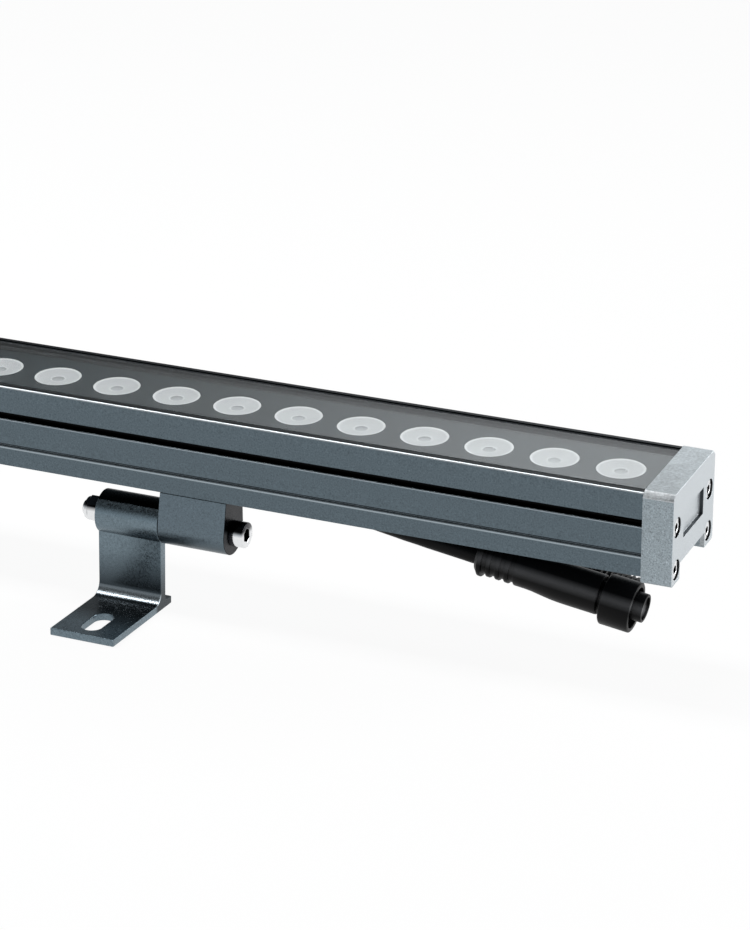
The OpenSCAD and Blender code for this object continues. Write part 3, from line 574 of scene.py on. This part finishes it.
def distance(tree, across, up, spot):
    """How far a place given by two values lies from a spot."""
    place = tree.nodes.new("ShaderNodeCombineXYZ")
    give(tree, place.inputs["X"], across)
    give(tree, place.inputs["Y"], up)
    length = tree.nodes.new("ShaderNodeVectorMath")
    length.operation = "DISTANCE"
    give(tree, length.inputs[0], place.outputs[0])
    give(tree, length.inputs[1], (*spot, 0))
    return length.outputs["Value"]


tree = lens_frost.node_tree
outward, aside, _ = bar_place(tree)
in_step = reckon(tree, "FRACT", reckon(tree, "DIVIDE", outward, lens_pitch))
across = reckon(tree, "MULTIPLY", reckon(tree, "SUBTRACT", in_step, 0.5), lens_pitch)
radius = distance(tree, across, aside, (0, 0))
# rings of the dish in mm: the lighter rings round the pit and at the rim are painted highlights;
# the clear pit is greyer
pit_rim, pit, dish_rim = (2.5, 3.2, 0.5), (-1, 2.6, 0.4), (8.6, 9.7, 0.6)
painted_pit_rim_highlight, pit_grey, painted_dish_rim_highlight = (0.44, 0.45, 0.46), (0.27, 0.278, 0.29), (0.5, 0.51, 0.52)
for ring, colour in ((pit_rim, painted_pit_rim_highlight), (pit, pit_grey), (dish_rim, painted_dish_rim_highlight)):
    tint(tree, inside(tree, (radius, ring)), colour)
per_board = lens_count // len(boards)
for b, board in enumerate(boards):
    lenses = bmesh.new()
    for i in range(per_board * b, per_board * (b + 1)):
        x = (i - (lens_count - 1) / 2) * lens_pitch * mm
        lathe(lenses, lens_profile, on_bar @ Matrix.Translation((x, 0, board_top * mm)), steps=48)
    row = finish_piece("lenses_" + board, lenses, lens_frost, "housing")
    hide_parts("lens_row_" + board)

# The boards and what is on them, closed in behind the mask: white boards with their chips,
# current regulators, links, the terminal and the wires.
board_white = grained(
    "board_white", (0.8, 0.8, 0.78), size=800, contrast=0.1, relief=0.05, roughness=0.35
)
chip_yellow = grained(
    "chip_phosphor", (0.85, 0.6, 0.12), size=2000, contrast=0.15, relief=0.05, roughness=0.3
)
small_parts = grained(
    "small_mouldings", (0.03, 0.03, 0.032), size=1500, contrast=0.2, relief=0.1, roughness=0.5
)
wire_red = grained(
    "wire_red", (0.35, 0.03, 0.02), size=1500, contrast=0.2, relief=0.1, roughness=0.4
)
for board in boards:
    paint("led_board_" + board, board_white)
    paint("led_chips_" + board, chip_yellow)
    paint("regulators_" + board, small_parts)
for node in ("board_links", "terminal_block"):
    paint(node, small_parts)
paint("supply_wires", wire_red)

# The end caps. Aluminium die castings, blasted to a coarse silver grain that turns mottled on
# top, bevelled along their top edges, with a blank pocket in the end face and four counterbores
# for the screws that hold them to the bar. Painted light makes the top and end face lighter and
# the bevel bright; painted shade darkens the pocket's walls and the counterbores.
cast_silver = grained(
    "blasted_casting", (0.34, 0.394, 0.426), size=1700, contrast=2.1, relief=0.5, roughness=0.46,
    metallic=0.75, patches=0.16, patch_size=160, fleck=0.62, fleck_colour=(0.55, 0.58, 0.6),
)
port_y, port_low, port_high = 19.1, 3, 20.45
# bands of the cap in mm, as for the bar: its top, bevel, end face, pocket walls and counterbores
cap_top, cap_bevel = (34.9, 40, 0.2), (57.45, 60, 0.15)
face_side, face_height, face_out = (-1, 24.4, 0.1), (-2, 34.9, 0.1), (498.2, 510, 0.1)
pocket_side, pocket_height, pocket_wall = (-1, 12.1, 0.1), (12.9, 24.4, 0.1), (498.5, 499.85, 0.1)
bore, bore_wall = (-1, 4.2, 0.1), (480, 499.8, 0.1)
painted_top_light, painted_bevel_highlight, painted_end_face_light = (0.56, 0.6, 0.62), (0.62, 0.65, 0.67), (0.47, 0.5, 0.52)
painted_pocket_wall_shade, painted_bore_shadow = (0.06, 0.068, 0.075), (0.002, 0.002, 0.003)


def from_screw(tree, aside, height):
    """How far a place on the end cap lies from the middle of its nearest screw."""
    low, high = (distance(tree, aside, height, (port_y, z)) for z in (port_low, port_high))
    return reckon(tree, "MINIMUM", low, high)


tree = cast_silver.node_tree
outward, aside, height = bar_place(tree)
mottle = grain_node(tree, Size=900, Contrast=0.9, Patch_Size=130, Patches=0.5).outputs["Shade"]
# painted light: the top painted lighter, carrying the casting's mottle
tint(tree, inside(tree, (height, cap_top)), painted_top_light, mottle)
slope = reckon(tree, "ADD", aside, height)
# painted highlight: the bevel painted bright, with the mottle
tint(tree, inside(tree, (slope, cap_bevel)), painted_bevel_highlight, mottle)
# painted light: the end face painted lighter, and even, without grain
face = inside(tree, (aside, face_side), (height, face_height), (outward, face_out))
tint(tree, face, painted_end_face_light)
# painted shade: the pocket's walls painted dark
walls = inside(tree, (aside, pocket_side), (height, pocket_height), (outward, pocket_wall))
tint(tree, walls, painted_pocket_wall_shade)
# painted shadow: the counterbores round the screw heads painted black
sunk = inside(tree, (from_screw(tree, aside, height), bore), (outward, bore_wall))
tint(tree, sunk, painted_bore_shadow)
for side in ("left", "right"):
    cap = finish_piece(
        "cast_cap_" + side, softened("end_cap_" + side, width=0.2), cast_silver, "housing",
        smooth=coated_edge,
    )
    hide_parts("end_cap_" + side)

# Fasteners. Bright stainless steel: the cap screws, the hinge bolts with their washers and lock
# nuts, and the screws and nut plates in the rail. Painted shade blackens the hex sockets and the
# cap screws' shanks in the groove; a painted reflection darkens the hinge bolts' heads, washers
# and nuts on top.
steel = (0.78, 0.79, 0.8)
stainless, cap_steel = (
    grained(
        name, steel, size=1200, contrast=0.08, relief=0.02, roughness=0.14, metallic=1,
        patches=0.04,
    )
    for name in ("stainless_steel", "screw_steel")
)
cap_hex, cap_hex_out, cap_shank = (-1, 1.8, 0.05), (-1, 499.4, 0.05), (-1, 488.2, 0.4)
painted_hex_shade, painted_bolt_hex_shade, painted_bolt_top_reflection = (0.002,) * 3, (0.003,) * 3, (0.04, 0.04, 0.045)
tree = cap_steel.node_tree
outward, aside, height = bar_place(tree)
# painted shade: the screws' hex sockets and their shanks inside the groove painted black
hole = inside(tree, (from_screw(tree, aside, height), cap_hex), (outward, cap_hex_out))
dark = reckon(tree, "MAXIMUM", hole, inside(tree, (outward, cap_shank)))
tint(tree, dark, painted_hex_shade)

# the same for the hinge bolts, in metres
bolt_hex, bolt_hex_out = (-1, 2.9 * mm, 0.1 * mm), (-320.9 * mm, 320.9 * mm, 0.1 * mm)
bolt_head, bolt_upper = (-1, 9.5 * mm, 0.1 * mm), (hinge_z + 1.5 * mm, 60 * mm, 2 * mm)
tree = stainless.node_tree
x, y, z = axes(tree, object_place(tree))
from_bolt = distance(tree, y, z, (hinge_y, hinge_z))
# painted shade: the hinge bolts' hex sockets painted black
tint(tree, inside(tree, (from_bolt, bolt_hex), (x, bolt_hex_out)), painted_bolt_hex_shade)
# painted reflection: the upper half of the hinge bolts' heads, washers and nuts painted dark, as a
# dark room above
tint(tree, inside(tree, (from_bolt, bolt_head), (z, bolt_upper)), painted_bolt_top_reflection)
for side in ("left", "right"):
    screws = finish_piece(
        "cap_bolts_" + side, softened("cap_screws_" + side, width=0.25), cap_steel, "housing",
    )
    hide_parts("cap_screws_" + side)
    for node, name, width in (
        ("hinge_bolt_", "tilt_bolt_", 0.4), ("bolt_washer_", "tilt_washer_", 0.15),
        ("lock_nut_", "tilt_nut_", 0.3),
    ):
        piece = finish_piece(
            name + side, softened(node + side, width), stainless, "bracket_" + side
        )
        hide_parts(node + side)
    for node in ("rail_nut_", "rail_screws_"):
        paint(node + side, stainless)
for node in ("board_screws", "outlet_screw", "outlet_nut"):
    paint(node, stainless)

# The cable outlet. A moulded black nylon block, screwed into the channel under the bar, with a
# gland nut over each cable; the cables' tails go through it.
nylon = grained(
    "black_nylon", (0.02, 0.02, 0.022), size=1800, contrast=0.4, relief=0.2, roughness=0.5
)
for node in ("outlet_block", "gland_nut_front", "gland_nut_rear"):
    paint(node, nylon)
paint("cable_tails", cable_rubber)

# Brackets and feet. Short lengths of aluminium extrusion with the housing's coat, painted
# lighter on them as painted light: each bracket hangs from the rail, and its foot turns beside it
# on the same bolt. Painted shade darkens the foot's lower leg, its plate and the top of its
# knuckle, and the brackets' lower part and ends; a painted highlight lies in the bend between leg
# and plate.
# painted light: the housing's slate coat, painted lighter for the feet
foot_coat_painted_lighter = grained(
    "slate_coat_painted_lighter_for_the_feet", (0.15, 0.195, 0.225), size=1500, contrast=1.3, relief=0.05,
    roughness=0.3, metallic=0.97, patches=0.05, fleck=0.66, fleck_colour=(0.2, 0.25, 0.27),
)
# bands of the foot in metres: the lower leg, knuckle, plate and the bend between leg and plate
shin_back, shin_height = (24 * mm, 50 * mm, 2 * mm), (-10 * mm, 15 * mm, 17 * mm)
knuckle_top = (43.1 * mm, 60 * mm, 1.6 * mm)
plate_length, plate_top = (4 * mm, 34 * mm, 14 * mm), (2.9 * mm, 3.6 * mm, 0.1 * mm)
bend_middle, bend_face = (22.2 * mm, 8.5 * mm), (5 * mm, 6.2 * mm, 0.4 * mm)
bend_back, bend_height = (24.9 * mm, 30 * mm, 1 * mm), (0, 6 * mm, 2.4 * mm)
painted_shin_shade, painted_plate_shade = (0.03, 0.038, 0.045), (0.035, 0.045, 0.052)
painted_knuckle_shadow, painted_bend_highlight = (0.004, 0.005, 0.006), (0.55, 0.62, 0.67)
tree = foot_coat_painted_lighter.node_tree
_, y, z = axes(tree, object_place(tree))
# painted shade: the lower leg painted darker towards the plate
tint(tree, inside(tree, (y, shin_back), (z, shin_height)), painted_shin_shade)
# painted shadow: the top of the knuckle painted black
tint(tree, inside(tree, (z, knuckle_top)), painted_knuckle_shadow)
# painted shade: the plate's top painted dark
tint(tree, inside(tree, (y, plate_length), (z, plate_top)), painted_plate_shade)
# painted highlight: a light band painted in the bend between leg and plate
from_bend = distance(tree, y, z, bend_middle)
bend = inside(tree, (from_bend, bend_face), (y, bend_back), (z, bend_height))
tint(tree, bend, painted_bend_highlight)

# painted light: the housing's slate coat, painted a little lighter for the brackets
bracket_coat_painted_lighter = grained(
    "slate_coat_painted_lighter_for_the_brackets", (0.12, 0.155, 0.18), size=1500, contrast=1.3, relief=0.08,
    roughness=0.34, metallic=0.97, patches=0.05, fleck=0.66, fleck_colour=(0.18, 0.22, 0.24),
)
bracket_belly, bracket_end = (-40, -18, 4), (315, 320, 0.1)
painted_belly_shade, painted_bracket_end_shade = (0.08, 0.104, 0.12), (0.004, 0.0045, 0.007)
tree = bracket_coat_painted_lighter.node_tree
outward, _, height = bar_place(tree)
# painted shade: the brackets' lower part painted darker
tint(tree, inside(tree, (height, bracket_belly)), painted_belly_shade)
# painted shade: the brackets' end faces painted near black
tint(tree, inside(tree, (outward, bracket_end)), painted_bracket_end_shade)
for side in ("left", "right"):
    bracket = finish_piece(
        "rail_bracket_" + side, softened("hinge_bracket_" + side, width=0.25), bracket_coat_painted_lighter,
        "bracket_" + side, smooth=coated_edge,
    )
    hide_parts("hinge_bracket_" + side)
    foot = finish_piece(
        "tilt_foot_" + side, softened("foot_" + side, width=0.3), foot_coat_painted_lighter, "foot_" + side,
        smooth=coated_edge,
    )
    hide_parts("foot_" + side)

# The studio's floor. A pale sheet, white to the camera and in mirrors, that keeps the object's
# shadow. It lies just below the feet and can't be seen from below.
floor_half, floor_drop = 6, 0.2 * mm
ground = bmesh.new()
bmesh.ops.create_grid(ground, x_segments=1, y_segments=1, size=floor_half)
bmesh.ops.translate(ground, verts=ground.verts, vec=(0, 0, -floor_drop))
mesh = bpy.data.meshes.new("floor")
ground.to_mesh(mesh)
ground.free()
floor = bpy.data.objects.new("floor", mesh)
bpy.context.scene.collection.objects.link(floor)
floor_paint, tree, shader = new_material("floor_white")
shader.inputs["Base Color"].default_value = (0.5, 0.5, 0.5, 1)
shader.inputs["Roughness"].default_value = 0.9
rays = tree.nodes.new("ShaderNodeLightPath")
direct = reckon(
    tree, "MAXIMUM", rays.outputs["Is Camera Ray"], rays.outputs["Is Glossy Ray"]
)
paper = tree.nodes.new("ShaderNodeBsdfDiffuse")
paper.inputs["Color"].default_value = (1, 1, 1, 1)
glow = tree.nodes.new("ShaderNodeEmission")
glow.inputs["Strength"].default_value = 1
glow_share = 0.92
white_floor = either(tree, direct, shader, either(tree, glow_share, paper, glow))
facing = tree.nodes.new("ShaderNodeNewGeometry")
unseen = tree.nodes.new("ShaderNodeBsdfTransparent")
one_sided = either(tree, facing.outputs["Backfacing"], white_floor, unseen)
give(tree, tree.nodes["Material Output"].inputs["Surface"], one_sided.outputs[0])
mesh.materials.append(floor_paint)

# The studio's light. A white background, a surround that is bright low in front and darkens
# overhead, a strip lamp over the bar and a soft lamp off its right end.
world = bpy.data.worlds.new("studio")
bpy.context.scene.world = world
world.use_nodes = True
tree = world.node_tree
rays = tree.nodes.new("ShaderNodeLightPath")
white = tree.nodes.new("ShaderNodeBackground")
white.inputs["Strength"].default_value = 1
white.inputs["Color"].default_value = (1, 1, 1, 1)


def ramp(tree, value, low, high, first, last):
    """A smooth change of brightness from one direction to another."""
    change = tree.nodes.new("ShaderNodeMapRange")
    change.interpolation_type = "SMOOTHSTEP"
    for name, given in (
        ("Value", value), ("From Min", low), ("From Max", high), ("To Min", first),
        ("To Max", last),
    ):
        give(tree, change.inputs[name], given)
    return change.outputs["Result"]


# how the surround changes: between which two directions, and how bright at each
front_fall, rear_fall = (0.12, 0.62, 0.95, 0.03), (0.5, 0.85, 1.1, 0.05)
left_fall, front_to_rear = (-0.5, -0.26, 0.12, 1), (-0.2, 0.4, 0, 1)
right, rear, up = axes(tree, tree.nodes.new("ShaderNodeTexCoord").outputs["Generated"])
rear_light = reckon(
    tree, "MULTIPLY", ramp(tree, right, *left_fall), ramp(tree, up, *rear_fall)
)
around = tree.nodes.new("ShaderNodeMix")
give(tree, around.inputs["Factor"], ramp(tree, rear, *front_to_rear))
give(tree, around.inputs["A"], ramp(tree, up, *front_fall))
give(tree, around.inputs["B"], rear_light)
room = tree.nodes["Background"]
room.inputs["Color"].default_value = (0.93, 0.97, 1, 1)
give(tree, room.inputs["Strength"], around.outputs["Result"])
shown = either(tree, rays.outputs["Is Camera Ray"], room, white)
give(tree, tree.nodes["World Output"].inputs["Surface"], shown.outputs[0])


def softbox(name, place, aim, width, depth, power):
    """A flat lamp at a place, turned to what it lights."""
    lamp = bpy.data.lights.new(name, "AREA")
    lamp.shape = "RECTANGLE"
    lamp.size = width
    lamp.size_y = depth
    lamp.energy = power
    box = bpy.data.objects.new(name, lamp)
    bpy.context.scene.collection.objects.link(box)
    box.location = place
    box.rotation_euler = (Vector(aim) - Vector(place)).to_track_quat("-Z", "Y").to_euler()


softbox("end_light", (1.9, 0.9, 0.55), aim=(0.5, 0.05, 0.06), width=0.9, depth=0.9, power=25)
softbox("strip_light", (-0.4, 0, 1.25), aim=(-0.4, 0.05, 0.08), width=1.6, depth=0.3, power=16)

bpy.context.scene.view_settings.view_transform = "Standard"
